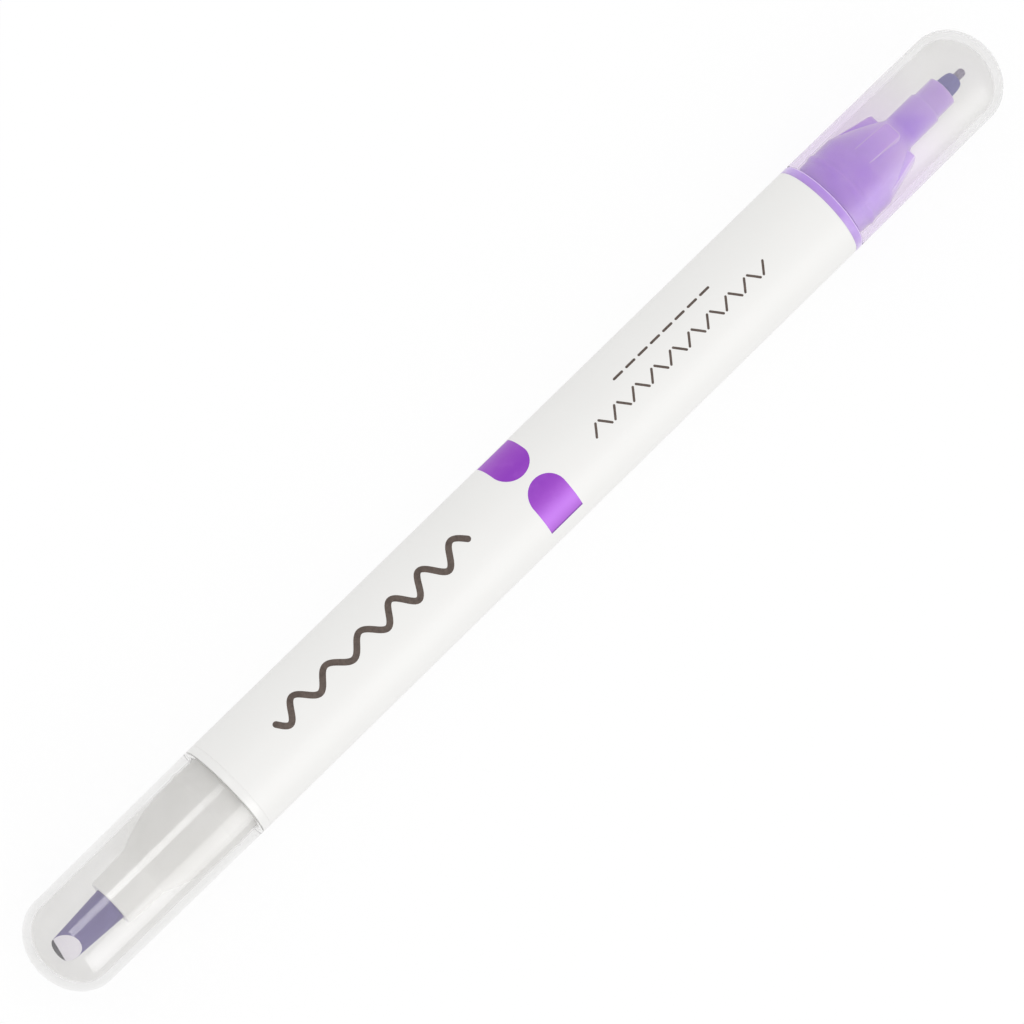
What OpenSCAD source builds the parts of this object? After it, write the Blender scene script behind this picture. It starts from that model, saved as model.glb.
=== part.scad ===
// Twin-tip fabric marking pen: a white barrel with a fine tip in a tinted holder at one end and a
// chisel tip in a white holder at the other, each under a clear domed cap that pulls straight off.
// The pen lies along X with its fine tip at +X. Z = 0 is the surface that it rests on.

/* [Pen] */
// Overall length with both caps on
pen_length = 142; // [132:1:165]
// Outer diameter of the barrel, of the rings and of the caps' mouths
pen_d = 11.6; // [11.2:0.1:14]

/* [Barrel] */
// Wall of the barrel tube
barrel_wall = 1.2; // [0.8:0.05:1.5]
// Chamfer on the barrel's and the rings' outer edges
edge_break = 0.12; // [0.04:0.02:0.3]
// Number of inner ribs that centre the ink reservoir
barrel_ribs = 4; // [3:1:8]
// Width of each inner rib
barrel_rib_w = 0.8; // [0.4:0.1:1.4]
// Gap between an inner rib's end and a holder
barrel_rib_gap = 0.5; // [0.2:0.1:2]

/* [Holders] */
// Length of the ring that stays in sight between the barrel and a cap
ring_l = 1; // [0.6:0.1:2]
// Length of a holder inside the barrel
spigot_l = 8.5; // [6:0.5:14]
// Wall of a holder inside the barrel
spigot_wall = 0.5; // [0.35:0.05:0.8]
// Wall of a holder under its cap
holder_wall = 1.1; // [0.7:0.05:1.5]
// Length of the bead that the cap clicks over
bead_l = 0.9; // [0.5:0.1:1.2]
// Distance from the ring to the middle of the bead
bead_at = 2.6; // [1.4:0.1:3]
// Radial slack between a holder and the barrel that it is pressed into
press_slack = 0.01; // [0:0.005:0.03]
// Radial slack between a nib and its bore
nib_slack = 0.02; // [0.01:0.01:0.1]

/* [Fine end] */
// Length of the cylinder that the fine cap sits on
fine_seat_l = 5.4; // [4.4:0.2:8]
// Length of the sloping shoulder
fine_shoulder_l = 6.05; // [4:0.05:9]
// Outward bow of the shoulder
fine_bow = 0.2; // [0:0.05:0.6]
// Diameter of the neck
fine_neck_d = 3.9; // [3.7:0.1:4.6]
// Length of the neck
fine_neck_l = 4.2; // [2:0.05:6]
// Diameter of the neck's lip
fine_lip_d = 3.5; // [3:0.1:3.6]
// Length of the neck's lip
fine_lip_l = 2.7; // [1.5:0.1:5]
// Number of ribs on the shoulder
shoulder_ribs = 4; // [2:1:6]
// Width of a shoulder rib
shoulder_rib_w = 2.3; // [1:0.1:2.8]
// Length of a shoulder rib, from the end of the seat
shoulder_rib_l = 5.35; // [3:0.05:5.8]
// Height of a shoulder rib's end above the neck
shoulder_rib_h = 1.25; // [0.6:0.05:1.6]
// How far a shoulder rib stays below the seat's surface
shoulder_rib_drop = 0.25; // [0.1:0.01:0.5]
// Radius of the two corners at a shoulder rib's end
shoulder_rib_round = 0.5; // [0.2:0.1:1]
// Turn of the first shoulder rib about the pen's axis, from straight up
shoulder_rib_turn = -13; // [-60:1:60]
// Diameter of the fine nib's rod
fine_rod_d = 2.3; // [1.6:0.1:2.6]
// Length of the fine nib's rounded collar
fine_collar_l = 2.1; // [1:0.1:4]
// Diameter of the fine writing point
fine_point_d = 0.95; // [0.4:0.05:1.4]
// Length of the fine writing point
fine_point_l = 1.2; // [0.6:0.1:2]
// Space between the fine point and the inside of the dome
fine_tip_gap = 2.15; // [1.4:0.1:4]

/* [Chisel end] */
// Length of the cylinder that the chisel cap sits on
chisel_seat_l = 5.2; // [4.4:0.2:8]
// Length of the sloping shoulder
chisel_shoulder_l = 6.7; // [4:0.5:9]
// Outward bow of the shoulder
chisel_bow = 0.35; // [0:0.05:0.6]
// Diameter of the nose
chisel_nose_d = 5.8; // [5.4:0.1:6.4]
// Length of the nose
chisel_nose_l = 4.75; // [2:0.25:7]
// Diameter of the chisel nib's rod
chisel_rod_d = 3.8; // [3:0.1:4.2]
// Length of the chisel nib outside its holder
chisel_out_l = 7.45; // [5:0.25:10]
// Diameter that the chisel nib narrows to
chisel_end_d = 2.9; // [2.2:0.1:3]
// Length of the slanted cut on the chisel nib
chisel_cut_l = 2.1; // [1:0.1:3]
// Thickness left at the chisel nib's writing edge
chisel_edge = 0.85; // [0.5:0.05:1.2]
// Skew of the chisel nib's writing edge
chisel_skew = 13; // [0:1:20]
// Lean of the chisel nib's end, back from its lowest point
chisel_lean = 22; // [0:1:30]
// Space between the chisel nib and the inside of the dome
chisel_tip_gap = 1.6; // [1.4:0.1:4]

/* [Caps] */
// Wall of a cap at its mouth
cap_wall = 1.05; // [0.8:0.05:1.3]
// Wall of a cap in the middle of its dome
dome_wall = 1.2; // [0.8:0.1:2]
// Length of the rounded end
dome_l = 4.75; // [3.6:0.25:5.75]
// Narrowing of a cap's radius between its mouth and its dome
cap_draft = 0.1; // [0:0.02:0.2]
// Radial slack between a cap and its seat
seat_slack = 0.15; // [0.08:0.01:0.25]
// Radial slack between a cap and the bead when it slides over
bead_slack = 0.03; // [0.01:0.01:0.06]
// Depth of the groove that the bead rests in
groove_depth = 0.12; // [0.05:0.01:0.2]
// Gap between a cap's mouth and the ring
mouth_gap = 0.05; // [0.02:0.01:0.2]
// Chamfer inside a cap's mouth
mouth_chamfer = 0.2; // [0.05:0.05:0.4]

/* [Ink] */
// Radial slack between the reservoir and what holds it
reservoir_slack = 0.06; // [0.02:0.02:0.2]
// Gap between the reservoir's end and the ledge in a holder
reservoir_end_gap = 0.2; // [0.1:0.1:1]
// Thickness of the film around the reservoir
film_t = 0.12; // [0.08:0.02:0.3]
// Depth that a nib reaches into the reservoir
nib_bite = 5; // [2:0.5:9]

/* [Colour marks] */
// Width of a mark along the pen
mark_w = 4.6; // [3:0.2:6]
// Angle that a mark covers, with its round end
mark_sweep = 61; // [50:1:70]
// Depth of a mark in the barrel
mark_t = 0.08; // [0.06:0.01:0.15]
// Place along the pen of the front mark
front_mark_x = 1.6; // [-3:0.1:5]
// Turn about the axis, from straight up, to the front mark's round end
front_mark_turn = -8; // [-12:1:10]
// Place along the pen of the back mark
back_mark_x = 1.1; // [-3:0.1:5]
// Turn about the axis, from straight up, to the back mark's round end
back_mark_turn = -19; // [-30:1:-16]

/* [Hidden] */
$fn = 96;

white = [0.93, 0.93, 0.92];
tinted = [0.67, 0.50, 0.86];
clear = [0.92, 0.93, 0.95, 0.35];
ink = [0.35, 0.29, 0.55];
fibre = [0.78, 0.70, 0.90];
film = [0.90, 0.90, 0.95, 0.6];
purple = [0.57, 0.25, 0.78];

steps = 10;      // straight runs in a bowed shoulder
dome_steps = 24; // straight runs in a dome
over = 1;        // how far a cutting shape runs past what it cuts

pen_r = pen_d / 2;
bore_r = pen_r - barrel_wall;             // inside of the barrel
spigot_r = bore_r - press_slack;
pocket_r = spigot_r - spigot_wall;        // inside of a holder's stretch in the barrel
film_r = pocket_r - reservoir_slack;
core_r = film_r - film_t;
cap_bore_r = pen_r - cap_wall;
seat_r = cap_bore_r - seat_slack;
bead_r = cap_bore_r - bead_slack;
fine_rod_r = fine_rod_d / 2;
chisel_rod_r = chisel_rod_d / 2;

// Distances along each end, from the end of the barrel outwards
fine_seat_end = ring_l + fine_seat_l;
fine_shoulder_end = fine_seat_end + fine_shoulder_l;
fine_neck_end = fine_shoulder_end + fine_neck_l;
fine_lip_end = fine_neck_end + fine_lip_l;
fine_collar_end = fine_lip_end + fine_collar_l;
fine_tip = fine_collar_end + fine_point_l;
fine_end = fine_tip + fine_tip_gap + dome_wall;
chisel_seat_end = ring_l + chisel_seat_l;
chisel_shoulder_end = chisel_seat_end + chisel_shoulder_l;
chisel_nose_end = chisel_shoulder_end + chisel_nose_l;
chisel_tip = chisel_nose_end + chisel_out_l;
chisel_end = chisel_tip + chisel_tip_gap + dome_wall;

barrel_from = chisel_end - pen_length / 2;
barrel_to = pen_length / 2 - fine_end;
barrel_l = barrel_to - barrel_from;

// Radius along a slope between two radii, bowed outwards by bow in the middle
function slope_r(r0, r1, bow, t) = r0 + (r1 - r0) * t + 4 * bow * t * (1 - t);

// Points [radius, distance] along such a slope
function slope(z0, r0, z1, r1, bow) =
    [for (i = [0:steps]) let (t = i / steps) [slope_r(r0, r1, bow, t), z0 + (z1 - z0) * t]];

// Points along a round end that starts at radius r and closes on the axis l further on
function dome(z0, r, l) =
    [for (i = [0:dome_steps]) let (a = 90 * i / dome_steps) [r * cos(a), z0 + l * sin(a)]];

function backwards(points) = [for (i = [len(points) - 1:-1:0]) points[i]];

// A solid turned about Z from points [radius, distance]
module turned(points) {
    rotate_extrude() polygon(points);
}

// Stands a shape that is built outwards from the barrel's end on the fine or the chisel end
module at_fine_end() {
    translate([barrel_to, 0, pen_r]) rotate([0, 90, 0]) children();
}

module at_chisel_end() {
    translate([barrel_from, 0, pen_r]) rotate([0, -90, 0]) children();
}

// The thin shell that a mark fills, from its round end at turn to its cut end at turn + side * mark_sweep
module mark_shape(x, turn, side) {
    end_angle = asin(mark_w / 2 / pen_r); // half of what the round end covers
    middle = turn + side * end_angle;     // centre of the round end
    first = min(middle, turn + side * mark_sweep);
    translate([x, 0, pen_r]) intersection() {
        rotate([0, 90, 0]) difference() {
            cylinder(r = pen_r, h = mark_w, center = true);
            cylinder(r = pen_r - mark_t, h = mark_w + over, center = true);
        }
        union() {
            rotate([middle, 0, 0]) cylinder(d = mark_w, h = pen_d);
            rotate([0, 90, 0]) rotate(180 + first) rotate_extrude(angle = mark_sweep - end_angle)
                translate([0, -mark_w / 2]) square([pen_d, mark_w]);
        }
    }
}

module marks() {
    mark_shape(front_mark_x, front_mark_turn, 1);
    mark_shape(back_mark_x, back_mark_turn, -1);
}

module barrel() {
    rib_l = barrel_l - 2 * (spigot_l + barrel_rib_gap);
    color(white) difference() {
        union() {
            at_fine_end() turned([
                [bore_r, 0], [pen_r - edge_break, 0], [pen_r, -edge_break],
                [pen_r, edge_break - barrel_l], [pen_r - edge_break, -barrel_l], [bore_r, -barrel_l]
            ]);
            for (i = [0:barrel_ribs - 1]) at_fine_end() rotate(360 * (i + 0.5) / barrel_ribs)
                translate([pocket_r, -barrel_rib_w / 2, -spigot_l - barrel_rib_gap - rib_l])
                    cube([bore_r - pocket_r + barrel_wall / 2, barrel_rib_w, rib_l]);
        }
        marks();
    }
}

module colour_marks() {
    color(purple) marks();
}

module reservoir_core() {
    bored = nib_bite + nib_slack;
    color(fibre) difference() {
        at_fine_end() translate([0, 0, reservoir_end_gap - barrel_l])
            cylinder(r = core_r, h = barrel_l - 2 * reservoir_end_gap);
        at_fine_end() translate([0, 0, -bored]) cylinder(r = fine_rod_r + nib_slack, h = bored + over);
        at_chisel_end() translate([0, 0, -bored])
            cylinder(r = chisel_rod_r + nib_slack, h = bored + over);
    }
}

module reservoir_film() {
    color(film) at_fine_end() translate([0, 0, reservoir_end_gap - barrel_l]) difference() {
        cylinder(r = film_r, h = barrel_l - 2 * reservoir_end_gap);
        translate([0, 0, -over]) cylinder(r = core_r, h = barrel_l + 2 * over);
    }
}

// Outline of a holder from its end inside the barrel to the end of its seat
function holder_base() = [
    [0, -spigot_l], [spigot_r - edge_break, -spigot_l], [spigot_r, edge_break - spigot_l], [spigot_r, 0],
    [pen_r - edge_break, 0], [pen_r, edge_break], [pen_r, ring_l - edge_break],
    [pen_r - edge_break, ring_l], [seat_r, ring_l], [seat_r, ring_l + bead_at - bead_l / 2],
    [bead_r, ring_l + bead_at - bead_l / 6], [bead_r, ring_l + bead_at + bead_l / 6],
    [seat_r, ring_l + bead_at + bead_l / 2]
];

// Hollow of a holder: the reservoir's pocket, its ledge, the space behind the nib and the nib's bore
module holder_hollow(seat_end, shoulder_end, tip_end, neck_r, bow, rod_r) {
    nib_bore_r = rod_r + nib_slack;
    turned(concat(
        [[0, -spigot_l - over], [pocket_r, -spigot_l - over], [pocket_r, 0], [seat_r - holder_wall, 0]],
        slope(seat_end - holder_wall / 2, seat_r - holder_wall,
              shoulder_end - holder_wall, nib_bore_r, bow),
        [[nib_bore_r, tip_end + over], [0, tip_end + over]]
    ));
}

module fine_holder() {
    neck_r = fine_neck_d / 2;
    lip_r = fine_lip_d / 2;
    color(tinted) at_fine_end() difference() {
        union() {
            turned(concat(
                holder_base(),
                slope(fine_seat_end, seat_r, fine_shoulder_end, neck_r, fine_bow),
                [
                    [neck_r, fine_neck_end - edge_break], [neck_r - edge_break, fine_neck_end],
                    [lip_r, fine_neck_end], [lip_r, fine_lip_end - 2 * edge_break],
                    [lip_r - edge_break, fine_lip_end], [0, fine_lip_end]
                ]
            ));
            for (i = [0:shoulder_ribs - 1])
                rotate(180 + shoulder_rib_turn + 360 * i / shoulder_ribs) shoulder_rib(neck_r);
        }
        holder_hollow(fine_seat_end, fine_shoulder_end, fine_lip_end, neck_r, fine_bow, fine_rod_r);
    }
}

// A flat-topped rib along the fine shoulder, below the seat so that the cap passes it
module shoulder_rib(neck_r) {
    rib_end = fine_seat_end + shoulder_rib_l;
    round_at = shoulder_rib_w / 2 - shoulder_rib_round;
    intersection() {
        rotate([90, 0, 0]) linear_extrude(height = shoulder_rib_w, center = true) polygon([
            [0, fine_seat_end], [seat_r - shoulder_rib_drop, fine_seat_end],
            [neck_r + shoulder_rib_h, rib_end], [0, rib_end]
        ]);
        union() {
            translate([0, -shoulder_rib_w / 2, fine_seat_end])
                cube([pen_r, shoulder_rib_w, shoulder_rib_l - shoulder_rib_round]);
            translate([0, -round_at, fine_seat_end]) cube([pen_r, 2 * round_at, shoulder_rib_l]);
            for (side = [-1, 1]) translate([0, side * round_at, rib_end - shoulder_rib_round])
                rotate([0, 90, 0]) cylinder(r = shoulder_rib_round, h = pen_r);
        }
    }
}

module fine_nib() {
    point_r = fine_point_d / 2;
    round_l = point_r; // the writing point's rounded end
    color(ink) at_fine_end() turned(concat(
        [
            [0, -nib_bite], [fine_rod_r / 2, -nib_bite], [fine_rod_r, fine_rod_r / 2 - nib_bite],
            [fine_rod_r, fine_lip_end]
        ],
        [for (i = [1:steps]) let (t = i / steps)
            [point_r + (fine_rod_r - point_r) * (1 - t ^ 2.5) ^ 0.4, fine_lip_end + fine_collar_l * t]],
        dome(fine_tip - round_l, point_r, round_l)
    ));
}

module chisel_holder() {
    nose_r = chisel_nose_d / 2;
    color(white) at_chisel_end() difference() {
        turned(concat(
            holder_base(),
            slope(chisel_seat_end, seat_r, chisel_shoulder_end, nose_r, chisel_bow),
            [
                [nose_r - edge_break, chisel_nose_end - 2 * edge_break],
                [nose_r - 2 * edge_break, chisel_nose_end], [0, chisel_nose_end]
            ]
        ));
        holder_hollow(chisel_seat_end, chisel_shoulder_end, chisel_nose_end, nose_r,
                      chisel_bow, chisel_rod_r);
    }
}

module chisel_nib() {
    end_r = chisel_end_d / 2;
    edge_x = chisel_edge - end_r; // height of the writing edge over the pen's axis
    cut_top = end_r - edge_x;     // drop of the slanted cut
    back = chisel_edge * tan(chisel_lean); // distance of the writing edge behind the tip
    color(ink) at_chisel_end() difference() {
        turned([
            [0, -nib_bite], [chisel_rod_r / 2, -nib_bite],
            [chisel_rod_r, chisel_rod_r / 2 - nib_bite], [chisel_rod_r, chisel_nose_end],
            [end_r, chisel_tip], [0, chisel_tip]
        ]);
        translate([edge_x, 0, chisel_tip - back]) rotate([chisel_skew, 0, 0])
            rotate([0, -atan2(cut_top, chisel_cut_l - back), 0]) translate([0, -pen_d, -pen_d])
                cube([pen_d, 2 * pen_d, 2 * pen_d]);
        translate([-end_r, 0, chisel_tip]) rotate([0, chisel_lean, 0])
            translate([-pen_r, -pen_r, 0]) cube(pen_d);
    }
}

// A clear cap over an end whose seat ends at seat_end and whose dome ends at cap_end
module cap(seat_end, cap_end) {
    mouth = ring_l + mouth_gap;
    groove_at = ring_l + bead_at;
    dome_from = cap_end - dome_l;
    color(clear) turned(concat(
        [
            [cap_bore_r + mouth_chamfer, mouth], [pen_r - edge_break, mouth],
            [pen_r, mouth + edge_break]
        ],
        dome(dome_from, pen_r - cap_draft, dome_l),
        backwards(dome(dome_from, cap_bore_r - cap_draft, dome_l - dome_wall)),
        [
            [cap_bore_r, seat_end], [cap_bore_r, groove_at + bead_l / 2],
            [cap_bore_r + groove_depth, groove_at + bead_l / 6],
            [cap_bore_r + groove_depth, groove_at - bead_l / 6],
            [cap_bore_r, groove_at - bead_l / 2], [cap_bore_r, mouth + mouth_chamfer]
        ]
    ));
}

module fine_cap() {
    at_fine_end() cap(fine_seat_end, fine_end);
}

module chisel_cap() {
    at_chisel_end() cap(chisel_seat_end, chisel_end);
}

barrel();
colour_marks();
reservoir_core();
reservoir_film();
fine_holder();
fine_nib();
fine_cap();
chisel_holder();
chisel_nib();
chisel_cap();
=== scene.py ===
import math

import bmesh
import bpy
from mathutils import Matrix, Vector


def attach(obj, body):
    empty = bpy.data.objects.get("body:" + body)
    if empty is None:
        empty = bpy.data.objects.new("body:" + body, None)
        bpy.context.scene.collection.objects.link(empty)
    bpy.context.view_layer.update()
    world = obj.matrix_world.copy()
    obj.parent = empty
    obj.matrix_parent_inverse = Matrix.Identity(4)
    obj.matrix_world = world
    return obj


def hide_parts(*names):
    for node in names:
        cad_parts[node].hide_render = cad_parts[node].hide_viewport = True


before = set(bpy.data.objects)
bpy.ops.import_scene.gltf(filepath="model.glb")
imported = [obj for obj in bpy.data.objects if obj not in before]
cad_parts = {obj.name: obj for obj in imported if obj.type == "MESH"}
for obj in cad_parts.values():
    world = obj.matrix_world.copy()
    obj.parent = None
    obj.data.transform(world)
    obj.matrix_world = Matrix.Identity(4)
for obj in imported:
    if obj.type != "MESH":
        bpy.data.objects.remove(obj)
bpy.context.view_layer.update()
print("frame loaded")

mm = 0.001
weld = 1e-7  # m; corners nearer to each other than this become one
axisHeight = 5.8 * mm  # the pen's axis above the floor
fineEnd = (45.0, 1)  # where the barrel ends in mm, and which way outwards is
chiselEnd = (-43.1, -1)


def placed(name, data):
    thing = bpy.data.objects.new(name, data)
    bpy.context.collection.objects.link(thing)
    return thing


# camera, at a long lens, leaning towards the chisel end
viewpoint = {
    "distance": 650,  # mm from the middle of the pen
    "lean": 10.5,  # degrees
    "rise": 44.34,  # degrees, how steeply the pen climbs to the right
    "lens": 216.3, "sensor": 36, "clip": (0.01, 20),  # mm, mm and m
    "aim": (-1.014, -1.056),  # mm to the right and up from the middle of the pen
}


def makeCamera():
    lean, rise = math.radians(viewpoint["lean"]), math.radians(viewpoint["rise"])
    along = Vector((math.cos(lean), 0, math.sin(lean)))
    across = Vector((0, 1, 0))
    back = Vector((-math.sin(lean), 0, math.cos(lean)))
    right = along * math.cos(rise) - across * math.sin(rise)
    up = along * math.sin(rise) + across * math.cos(rise)
    turn = Matrix((right, up, back)).transposed().to_4x4()
    aimRight, aimUp = viewpoint["aim"]
    place = back * viewpoint["distance"] + right * aimRight + up * aimUp
    data = bpy.data.cameras.new("camera")
    data.lens = viewpoint["lens"]
    data.sensor_width = viewpoint["sensor"]
    data.clip_start, data.clip_end = viewpoint["clip"]
    camera = placed("camera", data)
    camera.matrix_world = Matrix.Translation(Vector((0, 0, axisHeight)) + place * mm) @ turn
    bpy.context.scene.camera = camera


makeCamera()
print("camera placed")


class Wire:  # a socket in a node tree; a sum on it adds a Math node
    def __init__(self, tree, socket=None):
        self.tree = tree
        self.socket = socket

    def node(self, kind, settings=None, inputs=None, output=0):
        made = self.tree.nodes.new(kind)
        for name, value in (settings or {}).items():
            if name == "stops":
                stops = made.color_ramp.elements
                while len(stops) < len(value):
                    stops.new(1.0)
                for stop, (position, colour) in zip(stops, value):
                    stop.position = position
                    stop.color = (*colour, 1) if len(colour) == 3 else colour
            else:
                setattr(made, name, value)
        for name, value in (inputs or {}).items():
            if isinstance(value, Wire):
                self.tree.links.new(value.socket, made.inputs[name])
            elif isinstance(value, tuple) and made.inputs[name].type == "RGBA":
                made.inputs[name].default_value = (*value, 1)
            else:
                made.inputs[name].default_value = value
        return Wire(self.tree, made.outputs[output] if made.outputs else None)

    def math(self, operation, first, second):
        return self.node("ShaderNodeMath", {"operation": operation}, {0: first, 1: second})

    def ramped(self, low, high, easing="LINEAR"):
        # from 0 at low, and below it, to 1 at high, and above it
        return self.node(
            "ShaderNodeMapRange", {"interpolation_type": easing},
            {"Value": self, "From Min": low, "From Max": high},
        )

    def stepped(self, low, high):
        # the same, but eased at both ends
        return self.ramped(low, high, "SMOOTHSTEP")

    def __add__(self, other):
        return self.math("ADD", self, other)

    __radd__ = __add__

    def __sub__(self, other):
        return self.math("SUBTRACT", self, other)

    def __rsub__(self, other):
        return self.math("SUBTRACT", other, self)

    def __mul__(self, other):
        return self.math("MULTIPLY", self, other)

    __rmul__ = __mul__

    def __truediv__(self, other):
        return self.math("DIVIDE", self, other)


def newFinish(name):
    material = bpy.data.materials.new(name)
    material.use_nodes = True
    material.node_tree.nodes.clear()
    return material, Wire(material.node_tree)


def grain(wire, size, detail, roughness=0.5, stretch=(1, 1, 1)):
    # noise on object coordinates, with features about size mm across, drawn out by stretch
    spot = wire.node("ShaderNodeTexCoord", output="Object")
    scale = tuple(1 / times for times in stretch)
    spot = wire.node("ShaderNodeMapping", inputs={"Vector": spot, "Scale": scale})
    return wire.node(
        "ShaderNodeTexNoise",
        inputs={"Vector": spot, "Scale": 1 / (size * mm), "Detail": detail, "Roughness": roughness},
    )


def distanceOut(wire, end):
    # mm outwards along the pen from one end of the barrel
    spot = wire.node("ShaderNodeTexCoord", output="Object")
    return (wire.node("ShaderNodeSeparateXYZ", inputs={0: spot}) / mm - end[0]) * end[1]


def blend(wire, share, first, second):
    return wire.node(
        "ShaderNodeMix", {"data_type": "RGBA"}, {0: share, 6: first, 7: second}, output=2
    )


def between(limits, share):
    low, high = limits
    return low + (high - low) * share


def mixed(first, second, share):
    return first * (1 - share) + second * share


def relief(wire, height, depth):
    # depth is how far in mm the height's full range stands out
    return wire.node("ShaderNodeBump", inputs={"Height": height, "Distance": depth * mm})


surfaceSockets = {
    "colour": "Base Color", "rough": "Roughness", "metal": "Metallic", "normal": "Normal",
    "coat": "Coat Weight", "coatRough": "Coat Roughness", "coatIor": "Coat IOR", "ior": "IOR",
    "through": "Transmission Weight", "glow": "Subsurface Weight",
    "glowScale": "Subsurface Scale", "glowRadius": "Subsurface Radius",
    "sheen": "Sheen Weight", "sheenRough": "Sheen Roughness", "shine": "Specular IOR Level",
}


def setSurface(material, wire, **inputs):
    named = {surfaceSockets[word]: value for word, value in inputs.items()}
    surface = wire.node("ShaderNodeBsdfPrincipled", inputs=named)
    wire.node("ShaderNodeOutputMaterial", inputs={"Surface": surface})
    return material


# finishes: colours are linear, a pair runs from low to high, a depth is in mm, and a pattern is
# its size in mm, its detail, its roughness and how far it is drawn out along each axis
barrelFinish = {
    "low": (0.845, 0.84, 0.825), "high": (0.865, 0.86, 0.845), "rough": (0.38, 0.5), "shine": 0.2,
    "cloud": (9, 2), "peel": (0.9, 1), "scuff": (2.2, 4, 0.6),
    "drawn": (0.35, 2, 0.5, (30, 1, 1)), "drawnShare": 0.3, "depth": 0.006,
}


def makeBarrelWhite():
    f = barrelFinish
    material, wire = newFinish("barrelWhite")
    cloud = grain(wire, *f["cloud"])
    drawn = grain(wire, *f["drawn"])
    peel = grain(wire, *f["peel"])
    scuff = grain(wire, *f["scuff"])
    return setSurface(
        material, wire,
        colour=blend(wire, cloud, f["low"], f["high"]),
        rough=between(f["rough"], mixed(scuff, drawn, f["drawnShare"])), shine=f["shine"],
        normal=relief(wire, mixed(peel, drawn, f["drawnShare"]), f["depth"]),
    )


holderWhiteFinish = {
    # painted light: under the cap the holder gets a lighter tone than its ring, which keeps the
    # barrel's tone, to make up for the shade of the cap
    "low": (0.93, 0.925, 0.91), "high": (0.96, 0.955, 0.94),
    "ring": (0.845, 0.84, 0.825), "ringTo": (0.9, 1.4),  # mm out from the barrel
    "rough": (0.28, 0.4), "shine": 0.35,
    "cloud": (3, 2), "peel": (0.6, 2), "depth": 0.004,
}


def makeHolderWhite():
    f = holderWhiteFinish
    material, wire = newFinish("holderWhite")
    cloud = grain(wire, *f["cloud"])
    peel = grain(wire, *f["peel"])
    return setSurface(
        material, wire,
        # the ring keeps the barrel's tone; the part under the cap gets the lighter painted-light
        # tone
        colour=blend(
            wire, distanceOut(wire, chiselEnd).stepped(*f["ringTo"]), f["ring"],
            blend(wire, cloud, f["low"], f["high"]),
        ),
        rough=between(f["rough"], peel), shine=f["shine"],
        normal=relief(wire, peel, f["depth"]),
    )


holderPurpleFinish = {
    "alongMm": (0.9, 1.8, 5.0, 8.0, 11.0, 13.2, 16.8),  # out from the barrel
    # partly the plastic's own colour, partly painted shade and highlight
    "along": (
        (0.44, 0.25, 0.75), (0.48, 0.195, 0.93), (0.49, 0.215, 0.95), (0.56, 0.32, 0.98),
        (0.64, 0.41, 0.99), (0.42, 0.19, 0.89), (0.54, 0.33, 0.92),
    ),
    "span": 20,  # mm that the colours are laid out over
    "pale": (0.76, 0.57, 0.99), "paleFrom": (0.3, 0.75), "paleShare": 0.2,
    "glow": 0.5, "glowScale": 0.0015, "glowRadius": (1.0, 0.8, 1.2),  # the scale is in m
    "sheen": 1.0, "sheenRough": 0.5, "rough": (0.3, 0.42),
    "cloud": (2.5, 3), "peel": (1.2, 1), "depth": 0.003,
}


def makeHolderPurple():
    # purple plastic that light spreads in, so its thin parts look paler; its tones along the holder
    # are partly its own colour and partly painted shade and highlight, deeper at the seat and neck
    # and lighter on the shoulder
    f = holderPurpleFinish
    material, wire = newFinish("holderPurple")
    cloud = grain(wire, *f["cloud"])
    peel = grain(wire, *f["peel"])
    stops = [(at / f["span"], tone) for at, tone in zip(f["alongMm"], f["along"])]
    out = distanceOut(wire, fineEnd) / f["span"]
    tone = wire.node("ShaderNodeValToRGB", {"stops": stops}, {0: out})
    return setSurface(
        material, wire,
        colour=blend(wire, cloud.stepped(*f["paleFrom"]) * f["paleShare"], tone, f["pale"]),
        rough=between(f["rough"], peel), sheen=f["sheen"], sheenRough=f["sheenRough"],
        glow=f["glow"], glowScale=f["glowScale"], glowRadius=f["glowRadius"],
        normal=relief(wire, peel, f["depth"]),
    )


holderRimHighlightFinish = {
    "high": (0.86, 0.74, 1.0), "rough": (0.25, 0.35), "coat": 0.5, "coatRough": 0.15,
    "peel": (0.5, 2), "depth": 0.005,
}


def makeHolderRimHighlight():
    # painted highlight: the edges of the ring and of the ribs are painted paler than the rest of
    # the same plastic
    f = holderRimHighlightFinish
    material, wire = newFinish("holderRimHighlight")
    peel = grain(wire, *f["peel"])
    return setSurface(
        material, wire,
        colour=blend(wire, peel, holderPurpleFinish["pale"], f["high"]),
        rough=between(f["rough"], peel), coat=f["coat"], coatRough=f["coatRough"],
        normal=relief(wire, peel, f["depth"]),
    )


capFinish = {
    "clear": (0.905, 0.90, 0.895), "cloudy": (0.865, 0.86, 0.85), "cloudyFrom": (0.3, 0.7),
    # painted purple shade: the purple holder's coloured shadow and bounced light are painted into
    # the fine cap near it
    "tinted": (0.85, 0.74, 0.91),  # where the purple holder colours the fine cap
    "purpleShadeTo": (8, 19),  # mm out from the barrel
    "purpleShadeShare": (0.6, 1.2), "rough": (0.02, 0.07), "haze": 0.1, "ior": 1.04,
    "fineGloss": {"coat": 1.0, "coatIor": 1.75, "coatRough": 0.42},
    "chiselGloss": {"coat": 1.0, "coatIor": 1.5, "coatRough": 0.1},
    "insideRough": (0.02, 0.06), "insideIor": 1.015,
    "cloud": (5, 2), "smudge": (3.2, 4, 0.6),
}


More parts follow.
